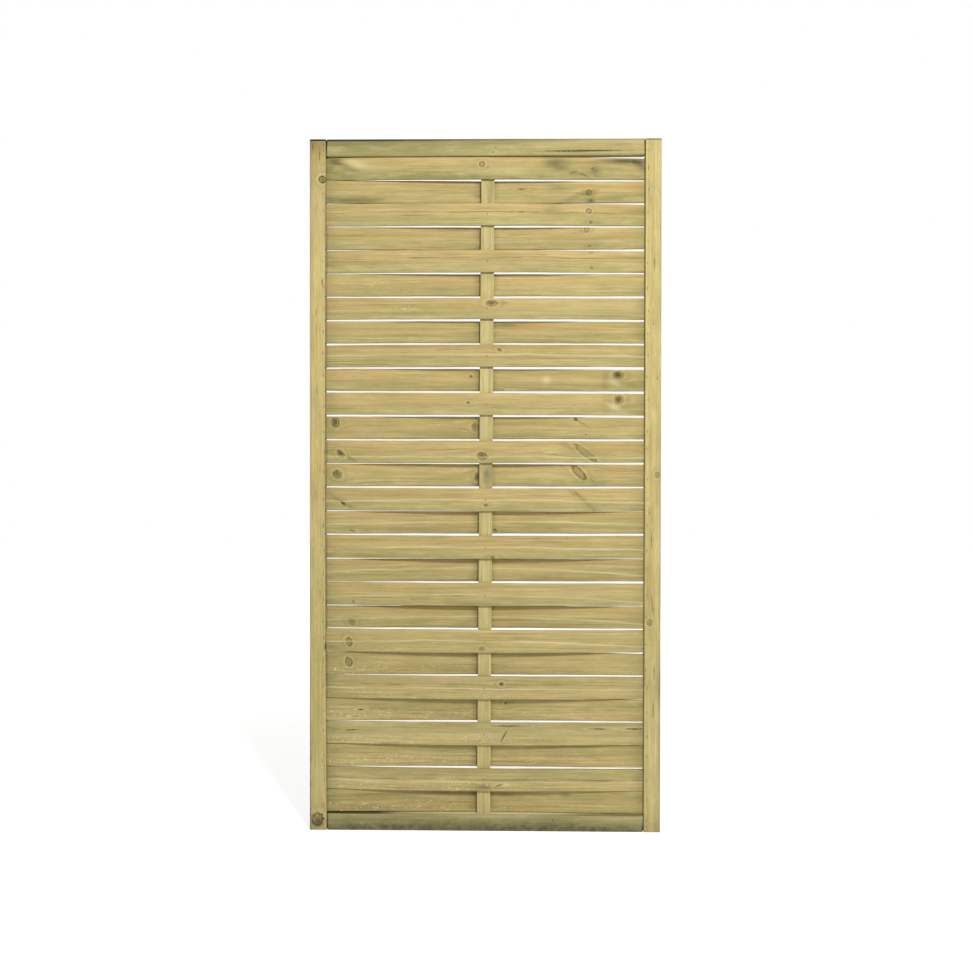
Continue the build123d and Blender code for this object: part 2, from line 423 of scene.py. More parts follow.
def timber_material(name, sapwood, streak, light, latewood, ring_strength, dash_strength):
    """Treated pine: the grain group, the knot group and the group of weathering and painted shade, in turn,
    with a paler, ringed end grain, on a rough shader."""
    stain_colour = srgb(84, 78, 54)
    bump_strength = 0.5
    bump_distance = 0.0006
    material, tree, shader = new_material(name)

    def mark(title, output="Fac"):
        """The value of one of the board's attributes."""
        return node(tree, "Attribute", attribute_name=title).outputs[output]

    grain = mark("grain", "Vector")
    place = node(tree, "TexCoord").outputs["Object"]
    grained = node(tree, "Group", node_tree=pine_grain, sockets={
        "Grain": grain, "Ring": mark("ring"), "Sapwood": sapwood, "Streak": streak, "Light": light,
        "Latewood": latewood, "Ring Strength": ring_strength, "Dash Strength": dash_strength,
    })
    knotted = node(tree, "Group", node_tree=pine_knots, sockets={
        "Color": grained.outputs["Color"], "Place": place, "Knot": mark("knot"), "Tone": mark("knot_tone"),
        "Rim": mark("knot_rim"), "Side": mark("knot_side"), "Heart": srgb(158, 146, 88),
        "Bark": srgb(58, 52, 26), "Light": light,
    })
    weathered_and_shaded = node(tree, "Group", node_tree=weathering_and_shade, sockets={
        "Color": knotted.outputs["Color"], "Grain": grain, "Place": place,
        "Olive Colour": srgb(148, 142, 88), "Warm Colour": srgb(190, 156, 92),
        "Pale Colour": srgb(234, 222, 172), "Stain Colour": stain_colour,
        "Mildew Colour": srgb(86, 83, 68), "Fleck Colour": srgb(242, 232, 180),
        **{socket_title(kind): mark(kind) for kind in stain_and_shade_kinds + line_kinds},
    })
    end_rings = rise(tree, math(tree, "FRACT", mark("ring")), 0.4, 0.95)
    end_colour = mix(tree, end_rings, srgb(176, 160, 112), srgb(132, 112, 70))
    end_colour = mix(tree, mark("dark"), end_colour, stain_colour)
    colour = mix(tree, mark("end_grain"), weathered_and_shaded.outputs["Color"], end_colour)
    tree.links.new(colour, shader.inputs["Base Color"])
    tree.links.new(weathered_and_shaded.outputs["Roughness"], shader.inputs["Roughness"])
    relief = math(tree, "ADD", grained.outputs["Height"], knotted.outputs["Height"])
    raised = node(tree, "Bump", {"Height": relief, "Strength": bump_strength, "Distance": bump_distance})
    tree.links.new(raised.outputs["Normal"], shader.inputs["Normal"])
    shader.inputs["Specular IOR Level"].default_value = 0.2
    return material


frame_timber = timber_material(
    "frame timber", sapwood=srgb(208, 189, 128), streak=srgb(194, 177, 114), light=srgb(218, 200, 142),
    latewood=srgb(150, 128, 78), ring_strength=0.5, dash_strength=0.5,
)

frame_face = frame_half_depth - face_wear
groove_floor = stile_inner + groove_depth
stile_corners = [
    (stile_inner, -frame_face), (stile_outer, -frame_face),
    (stile_outer, frame_face), (stile_inner, frame_face),
    (stile_inner, groove_half_width), (groove_floor, groove_half_width),
    (groove_floor, -groove_half_width), (stile_inner, -groove_half_width),
]
stile_ease = [inner_arris, frame_arris, frame_arris, inner_arris,
              groove_lip_ease, groove_floor_ease, groove_floor_ease, groove_lip_ease]
stile_section = eased_outline(stile_corners, stile_ease, stile_split)

# Heights of the rings of points: even ones, and closer ones for the sawn ends and the dark line at the top
end_margin = 5.0
foot_rings = np.array([0.0, 1.0])
head_rings = np.array([4.6, 3.9, 1.0, 0.0])
end_inset = 0.96
stile_heights = np.linspace(end_margin, panel_height - end_margin, int(panel_height / stile_step))
stile_heights = np.concatenate([foot_rings, stile_heights, panel_height - head_rings])

# Knots and stains on the stiles, as height above the ground and distance from the panel's middle line
stile_knots = {
    "left_stile": [
        (1696, -423, 9.5, 9.5, 0.5, 1.0), (28, -436, 17, 15, 0.15, 0.9), (482, -416, 16, 2.4, 0.9, 0.0, 8),
        (1780, -448, 22, 2.2, 0.6, 0.0), (1762, -431, 26, 2.4, 0.7, 0.0), (1430, -424, 16, 2.2, 0.6, 0.0),
        (1350, -440, 20, 2.0, 0.4, 0.0), (1150, -438, 24, 2.2, 0.4, 0.0), (880, -441, 24, 2.0, 0.4, 0.0),
        (620, -430, 26, 2.0, 0.4, 0.0), (180, -424, 14, 2.0, 0.6, 0.0),
    ],
    "right_stile": [
        (546, 428, 9, 7, 0.5, 0.7), (929, 447, 8, 6, 0.35, 0.6), (1320, 436, 5, 3, 0.5, 0.0),
        (320, 437, 36, 2.4, 0.8, 0.0), (595, 434, 44, 3.0, 0.5, 0.0, -8), (830, 426, 6, 2.5, 0.6, 0.0),
        (1180, 446, 6, 3.0, 0.5, 0.0), (1480, 438, 24, 2.2, 0.4, 0.0), (1640, 430, 18, 2.0, 0.4, 0.0),
        (760, 432, 30, 2.4, 0.5, 0.0), (420, 440, 26, 2.2, 0.5, 0.0),
    ],
}
stile_stains = {
    "left_stile": [
        ("dark", 22, -433, 10, 9, 1.0), ("mildew", 10, -442, 36, 26, 0.5),
        ("olive", 300, -434, 500, 30, 0.15), ("warm", 1760, -440, 60, 20, 0.4),
        ("warm", 940, -434, 60, 22, 0.5), ("olive", 1650, -452, 130, 6, 0.5),
        ("olive", 600, -452, 150, 5, 0.5), ("olive", 700, -419, 600, 5, 0.2),
        ("warm", 300, -436, 300, 14, 0.2), ("pale", 140, -432, 70, 14, 0.18),
        ("shade", 1800, -436, 36, 60, 0.36),
    ],
    "right_stile": [
        # The dark mark at height 300 on the outer edge, at 456, is painted shade on the outer arris
        ("dark", 900, 456, 1200, 4, 0.25), ("dark", 300, 456, 340, 3, 0.6), ("dark", 390, 437, 40, 30, 0.2),
        ("olive", 300, 434, 500, 30, 0.15), ("mildew", 10, 434, 30, 26, 0.35),
        ("warm", 640, 434, 120, 12, 0.4), ("olive", 640, 426, 160, 6, 0.4), ("pale", 180, 434, 260, 40, 0.14),
        ("shade", 1015, 437, 50, 40, 0.1),
    ],
}

# Shade on the dark line at the top, on the inner face and on the upper part, and damp on the left stile's
# outer edge, with the heights and the distances over which they come in
stile_top_shade = {"left_stile": 0.92, "right_stile": 0.45}
stile_inner_shade = {"left_stile": 0.3, "right_stile": 0.2}
top_line, inner_face = 4.0, 0.6
upper_shade, upper_span = 0.1, (1450, 1650)
damp, damp_span, damp_edge = 0.95, (500, 300), (3.6, 2.2)

# How far the inner edge of each stile lies inwards of a straight one at the foot, halfway up and at the top
stile_bow = {"left_stile": (2.4, -2.2, 0.0), "right_stile": (1.0, -0.3, -0.4)}
bow_reach = 9.0

for stile_side, name in ((-1, "left_stile"), (1, "right_stile")):
    section = stile_section * (stile_side, 1.0)
    if stile_side < 0:
        section = section[::-1]
    middle = np.array([stile_side * (stile_inner + stile_outer) / 2, 0.0])
    inset = np.ones((len(stile_heights), 1, 1))
    inset[[0, -1]] = end_inset
    places = middle + (section - middle) * inset
    bow = bent_line(2 * stile_heights / panel_height - 1, *stile_bow[name])[:, None]
    near_inner = ramp(np.abs(places[..., 0]), stile_inner + bow_reach, stile_inner)
    places[..., 0] -= stile_side * bow * near_inner
    x, y = places[..., 0], places[..., 1]
    z = np.broadcast_to(stile_heights[:, None], x.shape)
    marks = grain_marks(z, x, y, seed=40 + stile_side, ring_gap=5.5, pith=(stile_side * 470.0, 45.0),
                        taper=0.004, knots=stile_knots[name], stains=stile_stains[name])
    from_inner = np.broadcast_to(np.abs(section[:, 0]) - stile_inner, x.shape)
    marks["shade"] += stile_inner_shade[name] * (from_inner < inner_face)
    marks["shade"] += stile_top_shade[name] * (z > panel_height - top_line)
    marks["shade"] += upper_shade * ramp(z, *upper_span)
    if name == "left_stile":
        from_outer = stile_outer - np.abs(x)
        marks["mildew"] += damp * ramp(z, *damp_span) * ramp(from_outer, *damp_edge)
    stile = board_object(name + "_timber", np.dstack([x, y, z]), marks, frame_timber)
    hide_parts(name)


# Rails: two cross members of the same pine between the stiles, each sawn with a stub tenon at both ends
# that stands in the stile's groove. The saw left the shoulders a little off square, so the joints show a
# dark line.
rail_low, rail_high = box_of("top_rail")
rail_height = rail_high[2] - rail_low[2]
tenon_end = rail_high[0]
shoulder_gap = 2.4
shoulder_skew = 2.4
tenon_share = 0.33
rail_step = 4.0
rail_split = 2.2

rail_timber = timber_material(
    "rail timber", sapwood=srgb(190, 175, 124), streak=srgb(172, 160, 106), light=srgb(204, 190, 140),
    latewood=srgb(124, 112, 68), ring_strength=0.5, dash_strength=0.3,
)


def rectangle(half_width, low, high):
    """The corners of a rectangle that is centred on the first axis."""
    return [(-half_width, low), (half_width, low), (half_width, high), (-half_width, high)]


half_rail = rail_height / 2
rail_section = eased_outline(rectangle(frame_face, -half_rail, half_rail), frame_arris, rail_split)

# Knots and stains on the rails, as distance from the panel's middle line and height above the ground
rail_knots = {
    "top_rail": [
        (20, 1765, 5, 3.2, 0.8, 0.0, 50), (26, 1777, 4, 2.4, 0.7, 0.0, 60),
        (266, 1768, 150, 3.4, 1.0, 0.0, 0.6),
    ],
    "bottom_rail": [
        (178, 30, 4, 4, 1.0, 0.3), (143, 4, 5, 3, 0.9, 0.3),
    ],
}
rail_stains = {
    "top_rail": [
        ("olive", 0, 1778, 900, 60, 0.2), ("olive", -240, 1778, 320, 60, 0.65),
        ("dark", -330, 1785, 260, 14, 0.2), ("dark", -310, 1798, 220, 9, 0.35),
        ("dark", 100, 1798, 160, 8, 0.2), ("olive", 60, 1790, 60, 8, 0.5), ("warm", 330, 1785, 160, 10, 0.5),
    ],
    "bottom_rail": [
        ("olive", 0, 22, 600, 60, 0.8), ("shade", -240, 22, 500, 60, 0.11), ("mildew", 0, 0, 600, 20, 0.75),
        ("mildew", -330, 8, 140, 16, 0.4), ("mildew", -150, 18, 130, 12, 0.3),
        ("mildew", 140, 14, 130, 16, 0.35), ("pale", 20, 38, 120, 5, 0.3), ("pale", 330, 34, 90, 6, 0.25),
        ("dark", 340, 43, 90, 1.6, 1.0), ("mildew", 330, 8, 120, 14, 0.3),
    ],
}

# Shade on the dark line along the front arris at the top, which is weaker behind the arris and deeper to
# the left, on the underside, at the ends and in the joints
rail_top_shade = {"top_rail": 0.92, "bottom_rail": 0.0}
rail_under_shade = {"top_rail": 0.1, "bottom_rail": 0.4}
line_depth, line_deepening, line_fade = 5.2, 1.8, 3.0
line_middle, line_run, line_least = 0.65, 700, 0.35
deepening_span = (0, -300)
behind_arris, underside_depth = 0.25, 1.2
rail_end_shade, rail_end_reach = 0.25, 3.0
joint_shade = 0.9

# On the bottom rail's upper face: painted shade in the slit at the left, a dark line, and a pale stretch that
# is painted highlight of the lit face and cleaner wood
upper_face = 1.8
slit_shade, slit_front, slit_span = 0.7, -9.0, (-220, -280)
face_line, face_line_place, face_line_half = 0.7, -9.5, 2.8
painted_highlight, highlight_place, highlight_half = 0.9, 40, 280

# How far the plane took the inner edge of each rail up at its left end, in the middle and at its right end
rail_inner_edge = {"top_rail": (-0.9, -0.7, 2.0), "bottom_rail": (-1.6, -1.6, -1.6)}

# How much shorter the saw left each end than the opening, and how far out of square
rail_short = {"top_rail": (0.0, 0.0), "bottom_rail": (2.2, 1.0)}
rail_skews = {"top_rail": (0.8, -0.5), "bottom_rail": (-0.7, 0.9)}

for name in ("top_rail", "bottom_rail"):
    rail_middle = box_of(name)[:, 2].mean()
    left_shoulder, right_shoulder = (
        side * (stile_inner - shoulder_gap - short) + shoulder_skew * skew * rail_section[:, 1] / rail_height
        for side, short, skew in zip((-1, 1), rail_short[name], rail_skews[name])
    )
    part = np.linspace(0.0, 1.0, int(2 * tenon_end / rail_step))[:, None]
    end_x = np.full(len(rail_section), tenon_end)
    x = np.vstack([-end_x, left_shoulder, left_shoulder + (right_shoulder - left_shoulder) * part,
                   right_shoulder, end_x])
    is_tenon = np.zeros((len(x), 1, 1), bool)
    is_tenon[[0, 1, -2, -1]] = True
    sections = np.where(is_tenon, rail_section * (tenon_share, 1.0), rail_section)
    inward = -1.0 if name == "top_rail" else 1.0
    inner_share = 0.5 + inward * sections[..., 1] / rail_height
    planed = inner_share * bent_line(x / stile_inner, *rail_inner_edge[name])
    y = sections[..., 0]
    z = sections[..., 1] + rail_middle + planed
    marks = grain_marks(x, z, y, seed=50 + len(name), ring_gap=6.0, pith=(rail_middle + 30.0, 60.0),
                        taper=0.006, knots=rail_knots[name], stains=rail_stains[name])
    from_top = rail_middle + half_rail - z
    leftward = np.clip(line_middle - x / line_run, line_least, 1.0)
    front_arris = np.where(y < -frame_half_depth + frame_arris, 1.0, behind_arris)
    line_reach = line_depth + line_deepening * ramp(x, *deepening_span)
    dark_top = leftward * front_arris * ramp(from_top, line_reach, line_reach - line_fade)
    marks["shade"] += rail_end_shade * (np.abs(x) > stile_inner - shoulder_gap - rail_end_reach)
    marks["shade"] += rail_top_shade[name] * dark_top
    marks["shade"] += rail_under_shade[name] * (from_top > rail_height - underside_depth)
    marks["shade"] = np.where(is_tenon[..., 0], joint_shade, marks["shade"])
    if name == "bottom_rail":
        on_top = from_top < upper_face
        marks["shade"] += slit_shade * on_top * (y > slit_front) * ramp(x, *slit_span)
        marks["dark"] += face_line * on_top * bell(y, face_line_place, face_line_half)
        # A pale stretch: painted highlight of the lit upper face, with cleaner wood
        marks["pale"] += painted_highlight * on_top * bell(x, highlight_place, highlight_half, power=4)
    rail = board_object(name + "_timber", np.dstack([x, y, z]), marks, rail_timber)
    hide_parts(name)


# Batten: one thin upright of treated pine in the middle, a little out of plumb, with its ends in mortises
# in the rails. The slats are woven round it.
batten_low, batten_high = box_of("centre_batten")
batten_width = 35.0
batten_arris = 1.5
batten_foot = batten_low[0] + batten_width / 2
batten_head = batten_high[0] - batten_width / 2
batten_half_thickness = batten_high[1]
batten_step = 4.0
batten_split = 3.0
batten_edge, batten_edge_shade = 0.8, 0.25


def batten_centre(height):
    """X of the batten's middle line at a height: a straight line from its foot to its head."""
    part = (height - batten_low[2]) / (batten_high[2] - batten_low[2])
    return batten_foot + (batten_head - batten_foot) * part


batten_timber = timber_material(
    "batten timber", sapwood=srgb(204, 188, 132), streak=srgb(190, 175, 115), light=srgb(216, 201, 148),
    latewood=srgb(146, 126, 74), ring_strength=0.7, dash_strength=0.3,
)

half_batten = batten_width / 2
batten_corners = rectangle(half_batten, -batten_half_thickness, batten_half_thickness)
batten_section = eased_outline(batten_corners, batten_arris, batten_split)
batten_heights = np.linspace(batten_low[2], batten_high[2], int(panel_height / batten_step))[:, None]
x = batten_section[:, 0] + batten_centre(batten_heights)
y = np.broadcast_to(batten_section[:, 1], x.shape)
z = np.broadcast_to(batten_heights, x.shape)
from_middle = x - batten_centre(batten_heights)

# Knots and stains on the batten, as height above the ground and distance from its middle line
batten_knots = [(933, 1, 10, 8, 0.25, 0.2)]
batten_stains = [
    ("olive", 300, 0, 500, 40, 0.05), ("olive", 1692, 0, 50, 40, 0.5), ("olive", 600, 0, 120, 40, 0.15),
    ("olive", 1700, 6, 160, 8, 0.5), ("dark", 1441, 4, 12, 12, 0.3), ("olive", 933, 1, 60, 18, 0.7),
    ("dark", 930, 4, 30, 14, 0.4),
]
marks = grain_marks(z, from_middle, y, seed=61, ring_gap=7.0, pith=(2.0, 18.0), taper=0.003,
                    knots=batten_knots, stains=batten_stains)
marks["shade"] += batten_edge_shade * (from_middle < -half_batten + batten_edge)
batten = board_object("centre_batten_timber", np.dstack([x, y, z]), marks, batten_timber)
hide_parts("centre_batten")


# Slats: thin fine-sawn boards of treated pine with knots, woven in turn in front of and behind the batten,
# with their ends sprung into the stile grooves. No two are alike: they taper, bow a little and have
# wavering edges.
slat_low, slat_high = box_of("slat_01")
slat_names = sorted(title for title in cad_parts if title.startswith("slat_"))
slat_width = slat_high[2] - slat_low[2]
slat_end = slat_high[0]
slat_thickness = 8.7
slat_arris = 1.2
slat_split = 3.1
slat_stations = 220
slat_taper = 0.7
slat_wear = 0.3
slat_bend = 0.4
edge_waver = 0.2
line_waver = 0.8
last_sagging_slat = 11
right_end_sag = 1.8
least_gap = 0.4
rail_dip = 1.2
sawn_thickness = 9.0
seat_margin = 0.5
slat_bow = batten_half_thickness + sawn_thickness / 2
seat_half = half_batten + seat_margin

# Points lie closer together near a knot, within these lengths along and across the slat
knot_reach_along, knot_reach_across, knot_crowding = 26.0, 7.0, 1.6

slat_timber = timber_material(
    "slat timber", sapwood=srgb(202, 182, 124), streak=srgb(183, 167, 109), light=srgb(219, 202, 150),
    latewood=srgb(138, 118, 66), ring_strength=0.6, dash_strength=0.35,
)


def slat_plan(x, seat, facing):
    """Y of a slat's middle line at X: it pivots in the middle of each groove, bends as a sprung bar, a
    cubic in the distance from the stile, up to the batten at X = seat, and runs flat across it."""
    side = np.where(x < seat, -1.0, 1.0)
    run = stile_inner - side * seat - seat_half
    slope = 1.5 * slat_bow / (run + 0.75 * groove_depth)
    inward = np.minimum(stile_inner - side * x, run)
    bend = np.maximum(inward, 0.0) ** 3 / (3 * run ** 2)
    return facing * slope * (groove_depth / 2 + inward - bend)


# Knots, nicks and checks on the slats: distance from the panel's middle line, height above the slat's lower
# edge, half length, half height, darkness of heart and rim, and for some a turn to the left
slat_knots = {
    1: [(-8, 39, 7.5, 7.0, 0.15, 0.8), (387, 48, 7, 6, 0.5, 0.5), (279, 28, 6, 5, 0.8, 0.2),
        (229, 19, 13, 4, 0.5, 0.3, 18), (258, 10, 24, 2.8, 0.6, 0.0, -24), (286, 9, 4, 3, 0.8, 0.0)],
    2: [(269, 29, 7.5, 7, 0.3, 0.9), (276, 6, 5, 4, 0.9, 0.2), (96, 37, 14, 2.6, 0.9, 0.0)],
    3: [(268, 39, 7, 7, 0.1, 0.9), (274, 9, 6, 5, 0.6, 0.3), (96, 35, 14, 2.4, 0.8, 0.0)],
    4: [(264, 52, 7, 7, 0.15, 0.8), (272, 9, 6, 3.5, 0.6, 0.2)],
    5: [(274, 53, 9, 4, 0.4, 0.2), (276, 12, 6, 4.5, 0.5, 0.3)],
    7: [(17, 44, 14, 8.5, 0.95, 0.8)],
    9: [(38, 44, 8, 5, 0.95, 0.2, -20)],
    10: [(-37, 38, 6, 4.5, 0.7, 0.2), (347, 44, 13, 9.5, 1.0, 0.5), (31, 3, 18, 5, 0.2, 0.5)],
    11: [(-43, 32, 6, 4.5, 0.7, 0.2), (348, 42, 11.5, 11, 1.0, 0.5)],
    12: [(-391, 43, 10, 12, 1.0, 1.0, 15), (-25, 32, 9.5, 9.5, 0.6, 0.9), (237, 52, 7, 5, 1.0, 0.2),
         (264, 12, 4, 3.5, 0.7, 0.0), (252, 42, 26, 4, 0.3, 0.2, -28)],
    13: [(-377, 24, 11, 7.5, 1.0, 0.8, -40), (-7, 18, 13, 9.5, 0.7, 0.8, -15),
         (262, 26, 34, 8, 0.15, 0.8, -38)],
    14: [(-386, 31, 11, 9.5, 1.0, 1.0, -35), (-20, 24, 7, 11, 0.8, 0.4), (245, 37, 24, 9, 0.15, 0.95, -44),
         (283, 14, 14, 3, 0.4, 0.0, -30)],
    15: [(-370, 18, 10, 5, 1.0, 0.2, -35), (3, 15, 7, 5, 0.6, 0.3), (262, 24, 36, 4.5, 0.1, 0.4, -43)],
    16: [(-348, 8, 11, 4, 0.6, 0.2, -15), (27, 9, 7, 5, 0.8, 0.2, -30)],
    17: [(21, 3, 7, 5, 0.6, 0.2)],
    19: [(-343, 8, 7, 5, 0.5, 0.3, -30)],
    20: [(-348, 16, 10, 7.5, 0.9, 0.6, -35)],
    21: [(-355, 25, 8, 11, 0.35, 0.9, 20), (-8, 10, 8, 6, 0.5, 0.3)],
    22: [(-356, 33, 8.5, 11, 0.35, 0.9, 20)],
    23: [(44, 39, 7, 5.5, 0.95, 0.2)],
    24: [(55, 45, 5, 5, 0.8, 0.2), (-323, 28, 12, 2.6, 0.9, 0.0)],
    25: [(-346, 36, 26, 2.8, 0.8, 0.0, 6), (66, 50, 54, 3.0, 1.0, 0.0), (300, 43, 30, 3.0, 1.0, 0.0),
         (396, 43, 34, 3.4, 1.0, 0.0), (50, 24, 30, 3.2, 0.9, 0.0, 60)],
    27: [(38, 16, 14, 3.0, 0.6, 0.0, 15)],
}

# Lines of the grain that run the length of a slat, by kind and slat: their heights above the slat's lower
# edge at the left end, in the middle and at the right end, and their half height
slat_lines = {
    "pale_line": {
        9: (30, 33, 26, 2.0), 13: (17, 17, 12, 2.2), 15: (22, 29, 20, 2.2), 16: (22, 31, 24, 2.2),
        17: (23, 29, 21, 2.0), 18: (24, 34, 15, 2.2), 19: (18, 28, 8, 2.2), 20: (20, 30, 12, 2.0),
        21: (24, 30, 14, 2.0), 23: (26, 27, 24, 2.0), 27: (24, 24, 22, 1.8),
    },
    "dark_line": {
        3: (33, 36, 30, 1.3), 5: (34, 38, 36, 1.4), 23: (36, 38, 34, 1.3), 24: (30, 28, 30, 1.3),
        27: (30, 31, 29, 1.3),
    },
}

# Stains on the slats, placed as the knots are
slat_stains = {
    1: [("dark", -390, 48, 20, 9, 0.8), ("dark", -365, 36, 40, 6, 0.5, -22),
        ("olive", -200, 7, 230, 11, 0.9), ("olive", -390, 22, 60, 18, 0.7),
        ("pale", -338, 42, 30, 9, 0.5, -12), ("dark", 350, 50, 80, 9, 0.95), ("dark", 285, 22, 10, 16, 0.4),
        ("dark", 405, 38, 20, 10, 0.6, -28), ("olive", 190, 38, 34, 20, 0.8),
        ("dark", 180, 42, 32, 16, 0.6), ("olive", 300, 22, 60, 10, 0.5), ("olive", 120, 4, 300, 6, 0.5),
        ("dark", 240, 14, 36, 6, 0.4), ("shade", 260, 28, 200, 60, 0.06)],
    2: [("olive", -340, 7, 80, 9, 1.0), ("dark", -370, 6, 60, 6, 0.4), ("olive", 185, 40, 26, 12, 0.9),
        ("warm", 385, 42, 34, 8, 0.9), ("dark", 230, 14, 60, 6, 0.45, 20), ("olive", 350, 14, 90, 12, 0.6),
        ("dark", 272, 18, 12, 16, 0.3), ("dark", 276, 5, 12, 6, 0.6)],
    3: [("olive", 180, 34, 26, 12, 0.7), ("dark", 170, 44, 22, 12, 0.3), ("dark", 270, 9, 40, 5, 0.55),
        ("warm", 380, 44, 40, 8, 0.6), ("dark", 390, 38, 40, 5, 0.3)],
    4: [("dark", 250, 46, 24, 6, 0.35), ("warm", 360, 40, 60, 8, 0.5), ("dark", 276, 10, 30, 4, 0.5)],
    5: [("dark", 380, 40, 44, 3.5, 0.4), ("olive", 255, 52, 40, 6, 0.6), ("warm", 380, 48, 60, 6, 0.5)],
    6: [("fleck", -270, 30, 40, 8, 0.9), ("fleck", -200, 12, 25, 6, 0.9)],
    7: [("fleck", -215, 30, 55, 6, 0.9), ("dark", 40, 44, 26, 4, 0.35), ("pale", 250, 28, 220, 50, 0.1)],
    8: [("dark", 55, 48, 40, 10, 0.5), ("warm", 110, 44, 60, 10, 0.5)],
    9: [("dark", 0, 54, 420, 5, 0.35)],
    10: [("dark", 350, 40, 24, 14, 0.3), ("pale", 160, 30, 10, 8, 0.7), ("pale", 336, 24, 16, 6, 0.5, -25),
         ("dark", 312, 32, 8, 22, 0.3), ("olive", 375, 20, 24, 10, 0.5), ("shade", 300, 28, 170, 60, 0.05)],
    11: [("dark", 350, 40, 24, 16, 0.35), ("pale", 336, 22, 16, 6, 0.6, -20),
         ("dark", 312, 28, 10, 20, 0.25), ("olive", 372, 22, 24, 8, 0.4)],
    12: [("fleck", -80, 42, 70, 9, 0.8), ("fleck", -250, 8, 60, 7, 0.8), ("warm", -360, 18, 50, 10, 0.6),
         ("dark", -350, 16, 30, 5, 0.3)],
    13: [("dark", -350, 12, 22, 3, 0.7, -30), ("dark", -5, 18, 22, 12, 0.3),
         ("olive", 255, 26, 40, 16, 0.6), ("dark", 215, 44, 30, 6, 0.35, -20)],
    14: [("fleck", -70, 44, 80, 9, 0.8), ("olive", -384, 30, 14, 14, 0.4), ("olive", 240, 12, 60, 10, 0.5),
         ("dark", 300, 8, 30, 5, 0.3)],
    15: [("dark", -370, 20, 42, 6, 0.4, -30), ("dark", 235, 44, 24, 6, 0.4, -30),
         ("olive", 270, 16, 36, 9, 0.4, -35)],
    16: [("fleck", -140, 46, 60, 7, 0.8), ("olive", -345, 12, 40, 8, 0.5)],
    19: [("pale", 250, 28, 220, 50, 0.12)],
    20: [("olive", -348, 16, 18, 12, 0.5)],
    21: [("dark", -400, 12, 30, 8, 0.25)],
    22: [("fleck", -395, 14, 30, 10, 0.7)],
    25: [("pale", 0, 28, 600, 60, 0.09)],
    27: [("mildew", 0, 12, 24, 8, 0.6), ("fleck", -40, 10, 60, 8, 0.8)],
    28: [("warm", 0, 20, 600, 60, 0.14), ("olive", 0, 20, 600, 60, 0.1), ("dark", -80, 48, 100, 6, 0.5),
         ("dark", 55, 46, 26, 10, 0.4), ("dark", 213, 46, 14, 8, 0.4)],
}

# A row for each slat from the top: how far its upper edge lies above its even place at the left end, in the
# middle and at the right end, then the same for its lower edge. Most of these numbers were measured by
# comparing the gaps in the photograph with those in a render.
slat_edges = [
    (-1.4, -1.8, -3.4, -0.9, -0.9, -1.4), (0.7, 1.1, -1.2, 0.1, 0.4, 1.5), (-0.3, 0.0, -1.2, 0.1, 0.9, 0.7),
    (0.1, 1.0, -0.5, 0.1, 0.5, 1.6), (-0.4, 0.3, -1.3, -0.9, 0.5, 0.8), (0.0, 1.7, 0.2, 0.0, 2.2, 0.5),
    (-0.3, -1.5, -0.3, 0.6, 1.9, 1.2), (-0.4, 1.2, 0.0, 0.4, 2.4, 0.6), (-0.9, 1.1, 1.2, -0.1, 0.9, 2.3),
    (0.1, 0.6, -0.7, 0.5, 0.6, 0.0), (0.4, 0.9, 0.2, 0.7, 1.3, 0.9), (0.0, 0.1, -1.1, -0.9, -0.6, -0.5),
    (0.2, 0.8, 0.6, -1.1, 0.6, 1.5), (1.5, 1.2, 0.6, 1.0, 0.7, 0.1), (1.5, 1.1, 1.5, 0.6, -0.4, -1.6),
    (1.8, 1.8, 3.2, 1.9, 1.9, 3.5), (2.3, 2.0, 1.8, 0.8, 0.7, -0.3), (1.4, 0.7, 2.2, 0.7, -0.3, 2.0),
    (2.5, 1.8, 0.5, 1.4, 0.7, -0.3), (1.4, 0.7, 1.6, 3.1, 1.4, 1.4), (2.6, 2.6, 1.3, 1.5, 0.9, 1.2),
    (1.5, 0.9, 0.1, 1.7, 0.5, 1.4), (2.0, 2.5, 0.5, 1.2, 0.5, 0.3), (1.2, 0.5, 0.3, 1.3, 0.0, 0.7),
    (0.5, 1.1, -0.4, 0.9, 0.0, -0.7), (0.9, 0.0, 0.6, 1.0, -1.3, 0.6), (0.0, 0.1, -1.1, 0.8, -0.3, -0.2),
    (0.8, -0.3, -0.2, 0.2, -2.0, -2.2),
]

slat_section = eased_outline(rectangle(slat_thickness / 2, 0.0, slat_width), slat_arris, slat_split, bends=3)
even_x = np.linspace(-slat_end, slat_end, slat_stations)
edge_above = (even_x, np.full(slat_stations, panel_height - rail_height))
slat_seats = {}

# From the first to the last of these slats, the timber turns from tan to a golden green with salt flecks
golden_first, golden_last = 20, 24
fleck_strength, fleck_middle, fleck_run, fleck_least = 0.9, 0.7, 600, 0.25

# Each slat has a green and a warm part, parted by a soft line. Water stains it at the stiles. On the slats
# behind the batten, painted shade of the batten's shadow, with some grime, darkens it beside the batten, more
# on the left: side, distance from its edge, reach and strength. The grooves shade its ends: side, strength
# and distance inside the stile's edge.
green, warm_tan, warm_loss, parting = 0.38, 0.42, 0.34, 14
stile_stain_reach, stile_green, stile_dark = 26, 0.4, 0.16
batten_shade_and_grime = 0.35
batten_shade_sides = ((-1, 4, 12, 1.0), (1, 0, 8, 0.8))
groove_shades = ((-1, 0.25, 2.0), (1, 0.08, 1.0))

